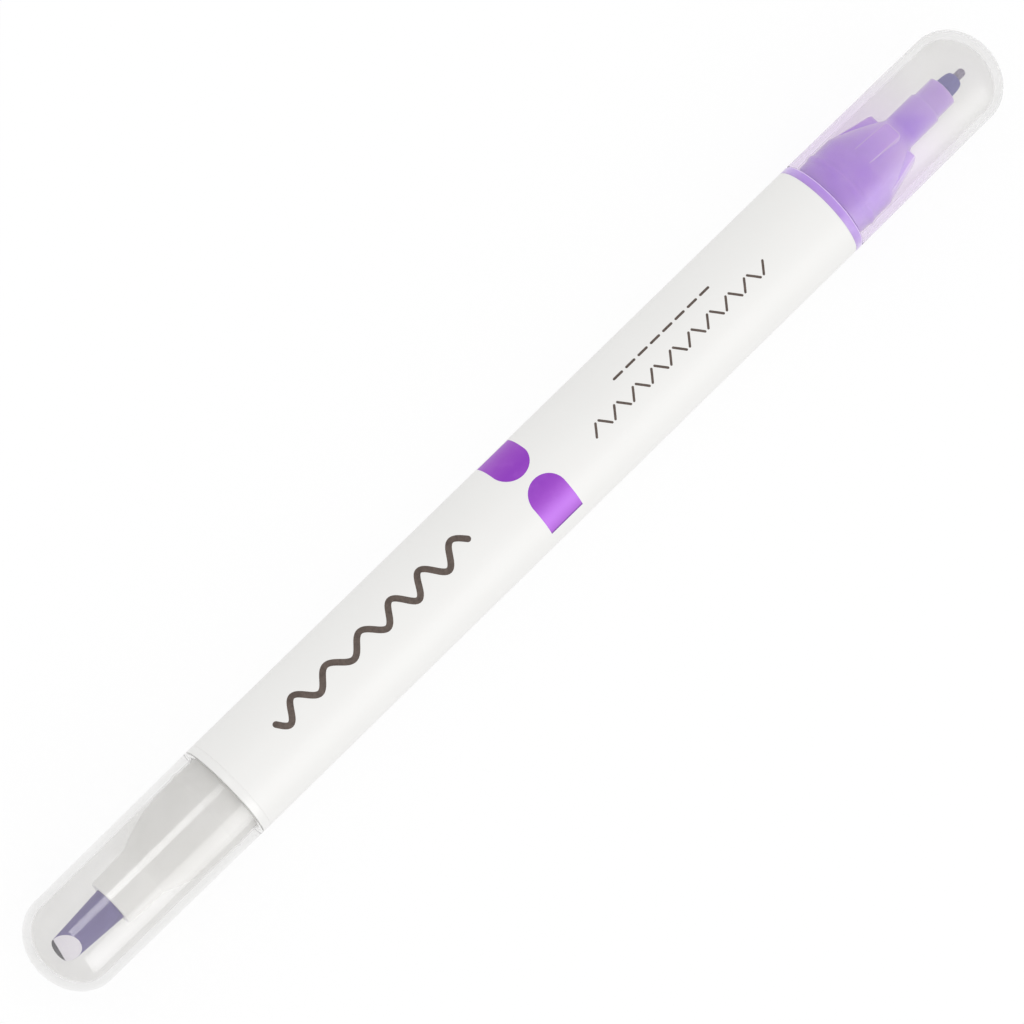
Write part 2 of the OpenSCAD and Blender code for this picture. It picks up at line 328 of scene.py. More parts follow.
def makeCapClear(name, gloss, tinted=False):
    # the outside of a cap: slightly hazy, with a gloss over it
    f = capFinish
    material, wire = newFinish(name)
    cloud = grain(wire, *f["cloud"])
    smudge = grain(wire, *f["smudge"])
    tone = blend(wire, cloud.stepped(*f["cloudyFrom"]), f["clear"], f["cloudy"])
    # near the holder the fine cap gets the painted purple shade
    if tinted:
        near = 1 - distanceOut(wire, fineEnd).stepped(*f["purpleShadeTo"])
        tone = blend(wire, near * between(f["purpleShadeShare"], cloud), tone, f["tinted"])
    return setSurface(
        material, wire, colour=tone, rough=between(f["rough"], smudge),
        through=1 - f["haze"], ior=f["ior"], **f[gloss],
    )


def makeCapInside():
    # the polished inside of a cap, which only its draft and groove show
    f = capFinish
    material, wire = newFinish("capInside")
    cloud = grain(wire, *f["cloud"])
    return setSurface(
        material, wire,
        colour=blend(wire, cloud, f["clear"], f["cloudy"]),
        rough=between(f["insideRough"], cloud), through=1.0, ior=f["insideIor"],
    )


markFinish = {
    # the tones across each mark are partly the ink's own purple and partly painted: a dark painted
    # shade line at the front cut edge, a painted highlight band near the front, and deeper painted
    # shade towards the back
    "acrossMm": (-4.56, -4.46, -3.4, -1.5, 0.0, 3.0, 5.3),  # from the front cut edge to the back
    "across": (
        (0.13, 0.01, 0.28), (0.36, 0.08, 0.58), (0.38, 0.095, 0.61), (0.33, 0.055, 0.56),
        (0.27, 0.028, 0.50), (0.27, 0.028, 0.51), (0.32, 0.055, 0.53),
    ),
    "span": 12,  # mm that the colours are laid out over, with the pen's axis in the middle
    "pale": (0.40, 0.10, 0.62), "paleFrom": (0.4, 0.8), "paleShare": 0.25,
    "rough": (0.34, 0.5), "metal": (0.05, 0.17),
    "cloud": (1.4, 3), "fleck": (0.09, 1), "depth": 0.002,
}


def makeMarkPurple():
    f = markFinish
    material, wire = newFinish("markPurple")
    cloud = grain(wire, *f["cloud"])
    fleck = grain(wire, *f["fleck"])
    # tones across the marks, holding painted shade and highlight
    spot = wire.node("ShaderNodeTexCoord", output="Object")
    across = wire.node("ShaderNodeSeparateXYZ", inputs={0: spot}, output=1) / (f["span"] * mm) + 0.5
    stops = [(at / f["span"] + 0.5, tone) for at, tone in zip(f["acrossMm"], f["across"])]
    tone = wire.node("ShaderNodeValToRGB", {"stops": stops}, {0: across})
    return setSurface(
        material, wire,
        colour=blend(wire, cloud.stepped(*f["paleFrom"]) * f["paleShare"], tone, f["pale"]),
        rough=between(f["rough"], fleck), metal=between(f["metal"], fleck),
        normal=relief(wire, fleck, f["depth"]),
    )


printFinish = {
    "dense": (0.065, 0.042, 0.032), "thin": (0.12, 0.085, 0.068), "thinFrom": (0.35, 0.7),
    "rough": (0.36, 0.56), "cloud": (0.5, 4, 0.65), "depth": 0.004,
}


def makePrintDark():
    f = printFinish
    material, wire = newFinish("printDark")
    cloud = grain(wire, *f["cloud"])
    return setSurface(
        material, wire,
        colour=blend(wire, cloud.ramped(*f["thinFrom"]), f["dense"], f["thin"]),
        rough=between(f["rough"], cloud),
        normal=relief(wire, cloud, f["depth"]),
    )


nibFinish = {
    "nibInk": ((0.13, 0.105, 0.28), (0.23, 0.19, 0.43)),
    "nibCollar": ((0.095, 0.08, 0.29), (0.175, 0.15, 0.46)),
    "nibPoint": ((0.20, 0.17, 0.26), (0.36, 0.31, 0.42)),
    # the end face: a darker copy of the nib's ink, painted shade
    "nibEndShade": ((0.02, 0.018, 0.03), (0.06, 0.05, 0.075)),
    "nibSoaked": ((0.30, 0.10, 0.68), (0.42, 0.18, 0.80)),
    "rough": (0.55, 0.85), "sheen": 0.15, "sheenRough": 0.4,
    "strand": (0.12, 3, 0.6, (14, 1, 1)), "clump": (0.8, 2), "clumpShare": 0.35, "depth": 0.03,
}


def makeNibInk(name):
    f = nibFinish
    material, wire = newFinish(name)
    strand = grain(wire, *f["strand"])
    clump = grain(wire, *f["clump"])
    return setSurface(
        material, wire,
        colour=blend(wire, mixed(strand, clump, f["clumpShare"]), *f[name]),
        rough=between(f["rough"], strand), sheen=f["sheen"], sheenRough=f["sheenRough"],
        normal=relief(wire, strand, f["depth"]),
    )


nibCutHighlightFinish = {
    # the near white is a painted highlight on the cut face of an ink-soaked nib
    "middle": (0.99, 0.97, 1.0), "edge": (0.90, 0.86, 0.95), "edgeFrom": (0.1, 0.6),
    "rough": (0.6, 0.85), "strand": 0.16, "depth": 0.02,  # the strand is its size in mm
}


def makeNibCutHighlight():
    # the slanted cut across the nib, painted near white as a highlight over the ends of its strands
    f = nibCutHighlightFinish
    material, wire = newFinish("nibCutHighlight")
    spot = wire.node("ShaderNodeTexCoord", output="Object")
    scale = 1 / (f["strand"] * mm)
    strands = wire.node("ShaderNodeTexVoronoi", inputs={"Vector": spot, "Scale": scale})
    share = strands.ramped(*f["edgeFrom"])
    return setSurface(
        material, wire,
        colour=blend(wire, share, f["middle"], f["edge"]),
        rough=between(f["rough"], share),
        normal=relief(wire, 1 - share, f["depth"]),
    )


fibreFinish = {
    "wet": (0.40, 0.25, 0.66), "dry": (0.62, 0.48, 0.84), "rough": (0.7, 0.95),
    "strand": (0.1, 4, 0.65, (10, 1, 1)), "soak": (5, 2), "soakShare": 0.5, "depth": 0.05,
}


def makeReservoirFibre():
    f = fibreFinish
    material, wire = newFinish("reservoirFibre")
    strand = grain(wire, *f["strand"])
    soak = grain(wire, *f["soak"])
    return setSurface(
        material, wire,
        colour=blend(wire, mixed(strand, soak, f["soakShare"]), f["wet"], f["dry"]),
        rough=between(f["rough"], strand),
        normal=relief(wire, strand, f["depth"]),
    )


filmFinish = {
    "low": (0.86, 0.85, 0.90), "high": (0.93, 0.92, 0.95), "rough": (0.16, 0.3),
    "crease": (1.5, 3, 0.6, (4, 1, 1)), "depth": 0.02,
}


def makeReservoirFilm():
    f = filmFinish
    material, wire = newFinish("reservoirFilm")
    crease = grain(wire, *f["crease"])
    return setSurface(
        material, wire,
        colour=blend(wire, crease, f["low"], f["high"]),
        rough=between(f["rough"], crease),
        normal=relief(wire, crease, f["depth"]),
    )


barrelWhite = makeBarrelWhite()
holderWhite = makeHolderWhite()
holderPurple = makeHolderPurple()
holderRimHighlight = makeHolderRimHighlight()
fineCapClear = makeCapClear("fineCapClear", "fineGloss", tinted=True)
chiselCapClear = makeCapClear("chiselCapClear", "chiselGloss")
capInside = makeCapInside()
markPurple = makeMarkPurple()
printDark = makePrintDark()
nibInk = makeNibInk("nibInk")
nibCollar = makeNibInk("nibCollar")
nibPoint = makeNibInk("nibPoint")
nibEndShade = makeNibInk("nibEndShade")
nibSoaked = makeNibInk("nibSoaked")
nibCutHighlight = makeNibCutHighlight()
reservoirFibre = makeReservoirFibre()
reservoirFilm = makeReservoirFilm()
print("finishes made")

# how outlines are turned into rounds
turning = {
    "steps": 144, "domeSteps": 24, "edgeSteps": 3,
    "longWall": 1.5, "ringIn": 0.2,  # mm; a longer wall gets a ring this far in from each end
}


def vertsOf(parts):
    return [part for part in parts if isinstance(part, bmesh.types.BMVert)]


def edgesOf(parts):
    return [part for part in parts if isinstance(part, bmesh.types.BMEdge)]


def rounded(bm, parts, offset, steps, affect="VERTICES", way="OFFSET", finish=-1):
    # bevels corners or edges; with finish -1 the new faces take that of their neighbours
    bmesh.ops.bevel(
        bm, geom=parts, offset=offset, offset_type=way, segments=steps, profile=0.5,
        affect=affect, material=finish,
    )


def merged(bm, near=weld):
    bmesh.ops.remove_doubles(bm, verts=bm.verts, dist=near)


def sliced(bm, spot, facing, near=weld, clear=False):
    # cuts all faces along a plane, takes off what is in front of it if clear, gives the new edges
    cut = bmesh.ops.bisect_plane(
        bm, geom=bm.verts[:] + bm.edges[:] + bm.faces[:], dist=near, plane_co=spot,
        plane_no=facing, clear_outer=clear,
    )["geom_cut"]
    return edgesOf(cut)


def plate(size, middle):
    # a flat rectangle, with its size and its middle in x and y
    bm = bmesh.new()
    bmesh.ops.create_grid(bm, x_segments=1, y_segments=1, size=0.5)
    bmesh.ops.scale(bm, verts=bm.verts, vec=(*size, 1))
    bmesh.ops.translate(bm, verts=bm.verts, vec=(*middle, 0))
    return bm


def raisedFrom(bm):
    # closes a flat shape into a solid and gives the corners of its top, to be moved up
    return vertsOf(bmesh.ops.extrude_face_region(bm, geom=bm.faces[:], use_keep_orig=True)["geom"])


def turned(end, outline, closed=False, steps=turning["steps"]):
    # spins an outline round the pen's axis; each corner is (distance out from the barrel's end,
    # radius) in mm, with the size of its rounding where it has one, or "dome" for a whole quarter
    start, side = end
    bm = bmesh.new()
    corners = [
        bm.verts.new(((start + side * corner[0]) * mm, 0, axisHeight + corner[1] * mm))
        for corner in outline
    ]
    for pair in zip(corners, corners[1:] + corners[:1] if closed else corners[1:]):
        bm.edges.new(pair)
    for vert, corner in zip(corners, outline):
        if corner[2:] == ("dome",):
            rounded(bm, [vert], 100, turning["domeSteps"], way="PERCENT")
        elif len(corner) == 3:
            rounded(bm, [vert], corner[2] * mm, turning["edgeSteps"])
    merged(bm)
    for edge in [edge for edge in bm.edges if edge.calc_length() > turning["longWall"] * mm]:
        # rings near both ends of a long wall keep its smooth shading straight
        ends = [vert.co.copy() for vert in edge.verts]
        inner = bmesh.ops.subdivide_edges(bm, edges=[edge], cuts=2)["geom_inner"]
        for vert in vertsOf(inner):
            near, far = sorted(ends, key=lambda place: (place - vert.co).length)
            vert.co = near + (far - near).normalized() * turning["ringIn"] * mm
    bmesh.ops.spin(
        bm, geom=bm.verts[:] + bm.edges[:], cent=(0, 0, axisHeight), axis=(1, 0, 0),
        angle=math.tau, steps=steps, use_merge=True,
    )
    merged(bm)
    bmesh.ops.recalc_face_normals(bm, faces=bm.faces)
    return bm


def bowedRadius(startRadius, endRadius, bow, t):
    return startRadius + (endRadius - startRadius) * t + 4 * bow * t * (1 - t)


def bowed(startAt, startRadius, endAt, endRadius, bow, steps=10):
    # corners along a slope that stands out by bow in its middle
    corners = []
    for i in range(steps + 1):
        t = i / steps
        radius = bowedRadius(startRadius, endRadius, bow, t)
        corners.append((startAt + (endAt - startAt) * t, radius))
    return corners


def added(whole, bm):
    # puts one bmesh into another and frees it
    part = bpy.data.meshes.new("part")
    bm.to_mesh(part)
    bm.free()
    whole.from_mesh(part)
    bpy.data.meshes.remove(part)


def finished(bm, name, finishes, body, replaced=None, sharp=32):
    # an edge that turns by more than sharp degrees stays sharp
    mesh = bpy.data.meshes.new(name)
    for face in bm.faces:
        face.smooth = True
    bm.to_mesh(mesh)
    bm.free()
    for finish in finishes:
        mesh.materials.append(finish)
    mesh.set_sharp_from_angle(angle=math.radians(sharp))
    piece = placed(name, mesh)
    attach(piece, body)
    if replaced:
        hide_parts(replaced)
    print(name, "made,", len(mesh.polygons), "faces")


# the barrel: a tube with ribs inside that centre the ink rod, in mm as all the pieces are; the
# marks and prints on it reach the full 5.8
barrel = {
    "length": 88.1, "outer": 5.794, "bore": 4.6, "edge": 0.03,
    "ribs": 4, "ribWidth": 0.8, "ribInner": 4.09, "ribLength": 70.1, "ribFoot": 0.4,
}


def makeBarrel():
    length, outer, bore, edge = (barrel[word] for word in ("length", "outer", "bore", "edge"))
    bm = turned(
        fineEnd, [(0, bore), (0, outer, edge), (-length, outer, edge), (-length, bore)], closed=True
    )
    height = bore - barrel["ribInner"] + barrel["ribFoot"]
    middle = fineEnd[0] - length / 2
    for i in range(barrel["ribs"]):
        rib = bmesh.ops.create_cube(bm, size=1)["verts"]
        size = (barrel["ribLength"] * mm, barrel["ribWidth"] * mm, height * mm)
        bmesh.ops.scale(bm, verts=rib, vec=size)
        bmesh.ops.translate(
            bm, verts=rib, vec=(middle * mm, 0, axisHeight + (barrel["ribInner"] + height / 2) * mm)
        )
        bmesh.ops.rotate(
            bm, verts=rib, cent=(0, 0, axisHeight),
            matrix=Matrix.Rotation(math.tau * (i + 0.5) / barrel["ribs"], 3, "X"),
        )
    finished(bm, "barrelTube", [barrelWhite], "pen", "barrel")


makeBarrel()

filmFacet = 0.15  # how much of the barrel's round one facet of a mark or a print covers


def wrapped(bm, side, turn, thick, proud):
    # lays a flat shape, drawn in x and arc length, round the barrel as a film that stands proud
    lowest = min(vert.co.y for vert in bm.verts)
    highest = max(vert.co.y for vert in bm.verts)
    slices = max(2, int((highest - lowest) / (filmFacet * mm)))
    for i in range(1, slices):
        sliced(bm, (0, lowest + (highest - lowest) * i / slices, 0), (0, 1, 0))
    bmesh.ops.translate(bm, verts=raisedFrom(bm), vec=(0, 0, thick * mm))
    for vert in bm.verts:
        radius = barrel["outer"] * mm + vert.co.z - (thick - proud) * mm
        angle = math.radians(turn) + side * vert.co.y / (barrel["outer"] * mm)
        vert.co = (vert.co.x, -radius * math.sin(angle), axisHeight + radius * math.cos(angle))
    bmesh.ops.recalc_face_normals(bm, faces=bm.faces)


# the two half-round colour marks
marks = {
    "width": 4.6, "length": 6.175, "thick": 0.04, "proud": 0.006, "roundSteps": 24,
    "front": (1.6, -8, 1),  # place along the pen, degrees to the round end, which way it runs
    "back": (1.1, -19, -1),
}


def makeMarks():
    whole = bmesh.new()
    width, middle = marks["width"] * mm, marks["length"] / 2 * mm
    for at, turn, side in (marks["front"], marks["back"]):
        bm = plate((width, marks["length"] * mm), (at * mm, middle))
        corners = [vert for vert in bm.verts if vert.co.y < middle]
        rounded(bm, corners, width / 2, marks["roundSteps"])
        merged(bm)
        wrapped(bm, side, turn, marks["thick"], marks["proud"])
        added(whole, bm)
    finished(whole, "colourMarks", [markPurple], "pen", "colour_marks")


makeMarks()


def strokeOn(bm, path, width):
    # a flat ribbon with round ends along a path of (x, arc length) points
    points = [Vector((x, y, 0)) * mm for x, y in path]
    half = width / 2 * mm
    last = len(points) - 1
    headings = [
        (points[min(i + 1, last)] - points[max(i - 1, 0)]).normalized() for i in range(len(points))
    ]
    across = Vector((-headings[0].y, headings[0].x, 0)) * half
    row = [bm.verts.new(points[0] + across * k) for k in (1, 0, -1)]
    rung = [bm.edges.new(row[:2]), bm.edges.new(row[1:])]
    firstRung = list(rung)
    for point, heading in zip(points[1:], headings[1:]):
        made = bmesh.ops.extrude_edge_only(bm, edges=rung)["geom"]
        verts = vertsOf(made)
        rung = [edge for edge in edgesOf(made) if all(vert in verts for vert in edge.verts)]
        middle = [vert for vert in verts if all(vert in edge.verts for edge in rung)][0]
        across = Vector((-heading.y, heading.x, 0)) * half
        left = [vert for vert in verts if vert is not middle]
        left.sort(key=lambda vert: -(vert.co - middle.co).dot(across))
        middle.co = point
        left[0].co = point + across
        left[1].co = point - across
    ends = ((firstRung, points[0], -headings[0]), (rung, points[-1], headings[-1]))
    for edges, centre, heading in ends:
        # a half disc over the end, turned from the left half of its rung
        side = Vector((-heading.y, heading.x, 0))
        middles = [(edge.verts[0].co + edge.verts[1].co) / 2 for edge in edges]
        leftness = [(middle - centre).dot(side) for middle in middles]
        chosen = edges[leftness.index(max(leftness))]
        bmesh.ops.spin(
            bm, geom=[chosen, *chosen.verts], cent=centre, axis=(0, 0, 1), angle=-math.pi,
            steps=printing["endSteps"],
        )
    merged(bm)


# generic printed strokes: a hand-drawn wave and two rows of stitches
printing = {
    "thick": 0.03, "proud": 0.006, "endSteps": 8,
    "wave": {
        "from": -36.0, "to": -7.9, "waves": 6, "height": 2.3, "width": 0.72, "turn": -13,
        "steps": 180,
        # a hand doesn't draw every wave alike: the share that the height or the place changes by,
        # and the radians that the change runs through and starts at
        "swell": (0.14, 7, 2.3), "drift": (0.05, 9, 0),
    },
    "dashes": {"from": 15.3, "count": 8, "pitch": 1.86, "length": 1.15, "width": 0.3, "turn": -25},
    "zigzag": {
        "from": 9.5, "count": 19, "pitch": 1.4, "length": 0.92, "height": 1.15, "width": 0.27,
        "turn": 1,
    },
}


def makePrint(name, strokes, width, turn):
    bm = bmesh.new()
    for path in strokes:
        strokeOn(bm, path, width)
    wrapped(bm, 1, turn, printing["thick"], printing["proud"])
    finished(bm, name, [printDark], "pen", sharp=60)


def makeWave():
    wave = printing["wave"]
    length = wave["to"] - wave["from"]
    swell, swellRun, swellStart = wave["swell"]
    drift, driftRun, driftStart = wave["drift"]
    path = []
    for i in range(wave["steps"] + 1):
        t = i / wave["steps"]
        height = wave["height"] / 2 * (1 - swell + swell * math.sin(swellStart + swellRun * t))
        phase = math.tau * (wave["waves"] * t + drift * math.sin(driftStart + driftRun * t))
        path.append((wave["from"] + length * t, height * math.sin(phase)))
    makePrint("wavePrint", [path], wave["width"], wave["turn"])


def makeStitches(name, row):
    # stitches of one length in a row, which lean one way and the other where they have a height
    strokes = []
    for i in range(row["count"]):
        start = row["from"] + row["pitch"] * i
        rise = row.get("height", 0) / 2 * (1 if i % 2 else -1)
        strokes.append([(start, -rise), (start + row["length"], rise)])
    makePrint(name, strokes, row["width"], row["turn"])


makeWave()
makeStitches("dashPrint", printing["dashes"])
makeStitches("zigzagPrint", printing["zigzag"])

# what both nib holders share: the stretch in the barrel, the ring, the seat and its bead
holder = {
    "spigot": 8.5, "spigotRadius": 4.59, "pocket": 4.09, "ring": 1, "ringRadius": 5.8,
    "seat": 4.6, "bead": 4.72, "beadAt": 3.6, "beadLength": 0.9, "inner": 3.5, "edge": 0.12,
}


def raisedBand(at, length, foot, top):
    # corners of a band, sloped at both sides, that a bead and its groove share
    return [
        (at - length / 2, foot), (at - length / 6, top), (at + length / 6, top),
        (at + length / 2, foot),
    ]


def holderOutside():
    h = holder
    return [
        (-h["spigot"], h["pocket"]), (-h["spigot"], h["spigotRadius"], h["edge"]),
        (0, h["spigotRadius"]), (0, h["ringRadius"], h["edge"] / 4),
        (h["ring"], h["ringRadius"], h["edge"]), (h["ring"], h["seat"]),
    ] + raisedBand(h["beadAt"], h["beadLength"], h["seat"], h["bead"])


def holderInside(seatEnd, shoulderEnd, tipEnd, bore, bow):
    # from the nib's opening back to the barrel
    wall = holder["seat"] - holder["inner"]
    slope = bowed(seatEnd - wall / 2, holder["inner"], shoulderEnd - wall, bore, bow)
    return [(tipEnd, bore)] + slope[::-1] + [(0, holder["inner"]), (0, holder["pocket"])]


# the purple holder of the fine nib, with ribs on its shoulder
fineHolder = {
    "seatEnd": 6.4, "shoulderEnd": 12.45, "neck": 1.95, "neckEnd": 16.65, "lip": 1.75,
    "lipEnd": 19.35, "bore": 1.17, "bow": 0.2, "edge": 0.12,
    # the ring's edge next to the cap is painted pale as a highlight
    "rimHighlightLength": 0.18, "rimHighlightDepth": 0.8,  # the pale edge of the ring, next to the cap
}
shoulderRibs = {
    "first": -13, "count": 4,  # degrees to the first one
    "width": 2.3, "from": 6.6, "to": 11.75, "highFrom": 4.4, "highTo": 3.2,
    "corner": 0.5, "cornerSteps": 6, "foot": 0.35, "slices": 12,
    "edge": 0.1, "edgeSteps": 2, "edgeFrom": 45,  # degrees; an edge that turns by more is rounded
}


def shoulderRib(turn):
    # a flat-topped rib, drawn from above with two rounded corners and raised from the slope
    r, f = shoulderRibs, fineHolder
    length = r["to"] - r["from"]
    middle = r["from"] + length / 2
    bm = plate((length, r["width"]), (middle, 0))
    corners = [vert for vert in bm.verts if vert.co.x > middle]
    rounded(bm, corners, r["corner"], r["cornerSteps"])
    for i in range(1, r["slices"]):
        sliced(bm, (r["from"] + length * i / r["slices"], 0, 0), (1, 0, 0), near=weld / mm)
    top = set(raisedFrom(bm))
    for vert in bm.verts:
        if vert in top:
            vert.co.z = between((r["highFrom"], r["highTo"]), (vert.co.x - r["from"]) / length)
        else:
            t = (vert.co.x - f["seatEnd"]) / (f["shoulderEnd"] - f["seatEnd"])
            vert.co.z = bowedRadius(holder["seat"], f["neck"], f["bow"], t) - r["foot"]
    bmesh.ops.recalc_face_normals(bm, faces=bm.faces)
    steep = math.radians(r["edgeFrom"])
    rim = [
        edge for edge in bm.edges
        if all(vert in top for vert in edge.verts) and edge.calc_face_angle() > steep
    ]
    # the rounded top edges of the ribs take the pale rim finish, a painted highlight
    rounded(bm, rim, r["edge"], r["edgeSteps"], affect="EDGES", finish=1)
    for vert in bm.verts:
        vert.co = ((fineEnd[0] + vert.co.x) * mm, vert.co.y * mm, axisHeight + vert.co.z * mm)
    about = Matrix.Rotation(math.radians(turn), 3, "X")
    bmesh.ops.rotate(bm, verts=bm.verts, cent=(0, 0, axisHeight), matrix=about)
    return bm


def united(first, second, finishes):
    # makes one closed solid of two that overlap
    pair = []
    for solid in (first, second):
        mesh = bpy.data.meshes.new("part")
        solid.to_mesh(mesh)
        solid.free()
        for finish in finishes:
            mesh.materials.append(finish)
        pair.append(placed("part", mesh))
    join = pair[0].modifiers.new("join", "BOOLEAN")
    join.operation = "UNION"
    join.solver = "EXACT"
    join.object = pair[1]
    whole = pair[0].evaluated_get(bpy.context.evaluated_depsgraph_get())
    bm = bmesh.new()
    bm.from_mesh(whole.to_mesh())
    whole.to_mesh_clear()
    for part in pair:
        mesh = part.data
        bpy.data.objects.remove(part)
        bpy.data.meshes.remove(mesh)
    merged(bm, near=10 * weld)  # a join leaves near doubles
    return bm


def makeFineHolder():
    f = fineHolder
    shoulder = bowed(f["seatEnd"], holder["seat"], f["shoulderEnd"], f["neck"], f["bow"])
    front = [
        (f["neckEnd"], f["neck"], f["edge"]), (f["neckEnd"], f["lip"]),
        (f["lipEnd"], f["lip"], f["edge"]),
    ]
    inside = holderInside(f["seatEnd"], f["shoulderEnd"], f["lipEnd"], f["bore"], f["bow"])
    bm = turned(fineEnd, holderOutside() + shoulder + front + inside, closed=True)
    ribs = bmesh.new()
    for i in range(shoulderRibs["count"]):
        added(ribs, shoulderRib(shoulderRibs["first"] + 360 * i / shoulderRibs["count"]))
    bm = united(bm, ribs, [holderPurple, holderRimHighlight])
    # faces of the ring's outer edge next to the cap take the painted highlight
    rimHighlightFrom = (fineEnd[0] + holder["ring"] - f["rimHighlightLength"]) * mm
    rimHighlightInside = (holder["ringRadius"] - f["rimHighlightDepth"]) * mm
    for face in bm.faces:
        spot = face.calc_center_median()
        if spot.x > rimHighlightFrom and math.hypot(spot.y, spot.z - axisHeight) > rimHighlightInside:
            face.material_index = 1
    finishes = [holderPurple, holderRimHighlight]
    finished(bm, "fineHolder", finishes, "pen", "fine_holder")


makeFineHolder()

# the white holder of the chisel nib
chiselHolder = {
    "seatEnd": 6.2, "shoulderEnd": 12.9, "nose": 2.9, "noseEnd": 17.65, "bore": 1.92,
    "bow": 0.35, "chamfer": 0.24,
}


def makeChiselHolder():
    c = chiselHolder
    shoulder = bowed(c["seatEnd"], holder["seat"], c["shoulderEnd"], c["nose"], c["bow"])
    front = [
        (c["noseEnd"] - c["chamfer"], c["nose"] - c["chamfer"] / 2),
        (c["noseEnd"], c["nose"] - c["chamfer"]),
    ]
    inside = holderInside(c["seatEnd"], c["shoulderEnd"], c["noseEnd"], c["bore"], c["bow"])
    bm = turned(chiselEnd, holderOutside() + shoulder + front + inside, closed=True)
    finished(bm, "chiselHolder", [holderWhite], "pen", "chisel_holder")


makeChiselHolder()

# the fine nib: a rod, a rounded collar and the writing point
fineNib = {
    "bite": 5, "rod": 1.15, "collar": 2.1, "collarSteps": 12, "fullness": 2.5,
    "point": 0.475, "pointLength": 1.2, "steps": 64,
}


def makeFineNib():
    n, lipEnd = fineNib, fineHolder["lipEnd"]
    collar = []
    for i in range(1, n["collarSteps"] + 1):
        t = i / n["collarSteps"]
        full = (1 - t ** n["fullness"]) ** (1 / n["fullness"])
        collar.append((lipEnd + n["collar"] * t, between((n["point"], n["rod"]), full)))
    tip = lipEnd + n["collar"] + n["pointLength"]
    bm = turned(
        fineEnd,
        [(-n["bite"], 0), (-n["bite"], n["rod"] / 2), (n["rod"] / 2 - n["bite"], n["rod"]),
         (lipEnd, n["rod"])]
        + collar
        + [(tip - n["point"], n["point"]), (tip, n["point"], "dome"), (tip, 0)],
        steps=n["steps"],
    )
    for face in bm.faces:
        out = face.calc_center_median().x / mm - fineEnd[0] - lipEnd
        face.material_index = 1 if out > n["collar"] else 2 if out < 0 else 0
    finished(bm, "fineNib", [nibCollar, nibPoint, nibSoaked], "pen", "fine_nib")


makeFineNib()

# the chisel nib: a rod that tapers to an edge, cut on the slant
chiselNib = {
    "bite": 5, "rod": 1.9, "tip": 25.1, "end": 1.45, "edge": 0.85, "cut": 2.1,
    "skew": 13, "lean": 22,  # degrees: of the cut about the pen, and of the end face
    "rim": 0.05, "rimSteps": 2, "steps": 96,
}


def makeChiselNib():
    n = chiselNib
    bm = turned(
        chiselEnd,
        [(-n["bite"], 0), (-n["bite"], n["rod"] / 2), (n["rod"] / 2 - n["bite"], n["rod"]),
         (chiselHolder["noseEnd"], n["rod"]), (n["tip"], n["end"]), (n["tip"], 0)],
        steps=n["steps"],
    )
    skew, lean = math.radians(n["skew"]), math.radians(n["lean"])
    low = n["edge"] - n["end"]
    back = n["edge"] * math.tan(lean)
    slant = math.atan2(n["end"] - low, n["cut"] - back)
    tipX = (chiselEnd[0] - n["tip"]) * mm
    cuts = (  # finish, a point on the cut, which way it faces
        # the end face takes the darker, painted-shade copy of the ink
        (2, (tipX, 0, axisHeight - n["end"] * mm), (-math.cos(lean), 0, math.sin(lean))),
        # the slanted cut takes the painted highlight finish
        (1, (tipX + back * mm, 0, axisHeight + low * mm),
         (-math.sin(slant) * math.cos(skew), -math.sin(slant) * math.sin(skew), math.cos(slant))),
    )
    rims = []
    for finish, spot, facing in cuts:
        edges = sliced(bm, spot, facing, clear=True)
        rims += edges
        for face in bmesh.ops.edgeloop_fill(bm, edges=edges)["faces"]:
            face.material_index = finish
    rims = [edge for edge in set(rims) if edge.is_valid]
    rounded(bm, rims, n["rim"] * mm, n["rimSteps"], affect="EDGES")
    bmesh.ops.recalc_face_normals(bm, faces=bm.faces)
    finished(bm, "chiselNib", [nibInk, nibCutHighlight, nibEndShade], "pen", "chisel_nib")


makeChiselNib()

# the two clear caps, each with its snap groove and domed end
cap = {
    "fineEnd": 26.0, "chiselEnd": 27.9, "mouth": 1.05, "outer": 5.8, "outerEnd": 5.7,
    "bore": 4.75, "boreEnd": 4.65, "dome": 4.75, "domeWall": 1.2,
    "groove": 0.12, "grooveAt": 3.6, "grooveLength": 0.9, "chamfer": 0.2, "edge": 0.12,
}


def makeCap(name, end, seatEnd, capEnd, finish, body):
    c = cap
    bm = turned(end, [
        (capEnd, 0), (capEnd, c["outerEnd"], "dome"), (capEnd - c["dome"], c["outerEnd"]),
        (c["mouth"], c["outer"], c["edge"]), (c["mouth"], c["bore"] + c["chamfer"]),
        (c["mouth"] + c["chamfer"], c["bore"]),
        *raisedBand(c["grooveAt"], c["grooveLength"], c["bore"], c["bore"] + c["groove"]),
        (seatEnd, c["bore"]), (capEnd - c["dome"], c["boreEnd"]),
        (capEnd - c["domeWall"], c["boreEnd"], "dome"), (capEnd - c["domeWall"], 0),
    ])
    for face in bm.faces:
        spot = face.calc_center_median()
        out = (spot.x / mm - end[0]) * end[1]
        away = math.hypot(spot.y, spot.z - axisHeight) / mm
        inward = face.normal.dot(Vector((0, spot.y, spot.z - axisHeight))) < 0
        inDome = away < c["boreEnd"] and out < capEnd - c["domeWall"] / 2
        if inward or (inDome and face.normal.x * end[1] < 0):
            face.material_index = 1
    finished(bm, name, [finish, capInside], body, body, sharp=25)


makeCap("fineCap", fineEnd, fineHolder["seatEnd"], cap["fineEnd"], fineCapClear, "fine_cap")
makeCap(
    "chiselCap", chiselEnd, chiselHolder["seatEnd"], cap["chiselEnd"], chiselCapClear, "chisel_cap"
)

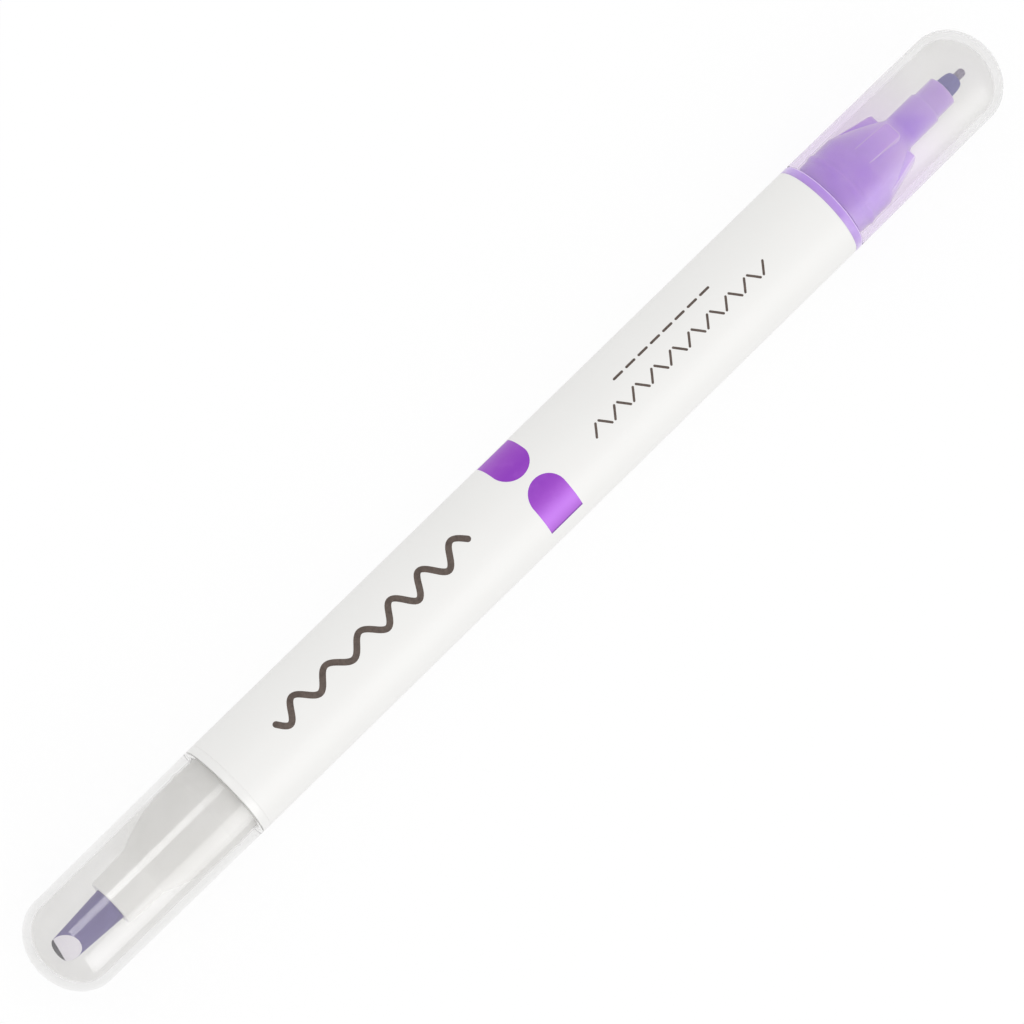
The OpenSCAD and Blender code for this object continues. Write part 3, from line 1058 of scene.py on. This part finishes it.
# the ink rod and its film keep their own solids
for node, finish in (("reservoir_core", reservoirFibre), ("reservoir_film", reservoirFilm)):
    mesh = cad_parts[node].data
    mesh.materials.clear()
    mesh.materials.append(finish)
print("pieces made")

# the floor, the world and the lamps
studio = {
    "floorSize": 6.0, "floorDrop": 0.00001,  # m
    "floorLow": (0.82, 0.82, 0.82), "floorHigh": (0.84, 0.84, 0.84),
    "fleck": (4, 3),
    "floorShow": 0.93,  # how much of the floor's white doesn't depend on the light
    "world": (0.98, 0.98, 0.98),
    "lamps": (
        # name, watts, size and place from the pen's middle in m, spread in degrees, gloss only
        ("sideLamp", 0.5, (0.7, 0.35), (0.0, -0.62, 0.33), 180, False),
        ("stripLamp", 0.19, (0.078, 0.13), (-0.031, 0.105, 0.49), 180, True),
        ("softLamp", 0.85, (0.52, 0.6), (0.0, -0.56, 0.2), 90, True),
    ),
}


def seenRays(wire):
    # 1 for what the camera sees, mirrored or through glass too, and 0 for light on the object
    rays = wire.node("ShaderNodeLightPath", output="Is Camera Ray")
    for name in ("Is Glossy Ray", "Is Transmission Ray"):
        rays = rays.math("MAXIMUM", rays, wire.node("ShaderNodeLightPath", output=name))
    return rays


def makeFloor():
    material, wire = newFinish("floorWhite")
    seen = seenRays(wire)
    tone = blend(wire, grain(wire, *studio["fleck"]), studio["floorLow"], studio["floorHigh"])
    lit = blend(wire, seen, tone, (1, 1, 1))
    diffuse = wire.node("ShaderNodeBsdfDiffuse", inputs={"Color": lit})
    glow = wire.node("ShaderNodeEmission", inputs={"Color": (1, 1, 1), "Strength": 1.0})
    share = seen * studio["floorShow"]
    shown = wire.node("ShaderNodeMixShader", inputs={0: share, 1: diffuse, 2: glow})
    wire.node("ShaderNodeOutputMaterial", inputs={"Surface": shown})
    bm = bmesh.new()
    bmesh.ops.create_grid(bm, x_segments=4, y_segments=4, size=studio["floorSize"] / 2)
    bmesh.ops.translate(bm, verts=bm.verts, vec=(0, 0, -studio["floorDrop"]))
    mesh = bpy.data.meshes.new("floor")
    bm.to_mesh(mesh)
    bm.free()
    mesh.materials.append(material)
    floor = placed("floor", mesh)


def makeWorld():
    world = bpy.data.worlds.new("studio")
    world.use_nodes = True
    world.node_tree.nodes.clear()
    wire = Wire(world.node_tree)
    light = wire.node("ShaderNodeBackground", inputs={"Color": studio["world"], "Strength": 1.0})
    white = wire.node("ShaderNodeBackground", inputs={"Color": (1, 1, 1), "Strength": 1.0})
    shown = wire.node("ShaderNodeMixShader", inputs={0: seenRays(wire), 1: light, 2: white})
    wire.node("ShaderNodeOutputWorld", inputs={"Surface": shown})
    bpy.context.scene.world = world


def makeLamps():
    for name, watts, size, place, spread, glossOnly in studio["lamps"]:
        data = bpy.data.lights.new(name, "AREA")
        data.shape = "RECTANGLE"
        data.size, data.size_y = size
        data.energy = watts
        data.spread = math.radians(spread)
        lamp = placed(name, data)
        place = Vector(place)
        towards = place.normalized()
        across = Vector((1, 0, 0)).cross(towards).normalized()
        side = across.cross(towards)
        lamp.matrix_world = (
            Matrix.Translation(place + Vector((0, 0, axisHeight)))
            @ Matrix((-side, across, towards)).transposed().to_4x4()
        )
        lamp.visible_camera = False
        if glossOnly:
            lamp.visible_diffuse = False
            lamp.visible_transmission = False


makeFloor()
makeWorld()
makeLamps()
bpy.context.scene.view_settings.view_transform = "Standard"
print("studio lit")
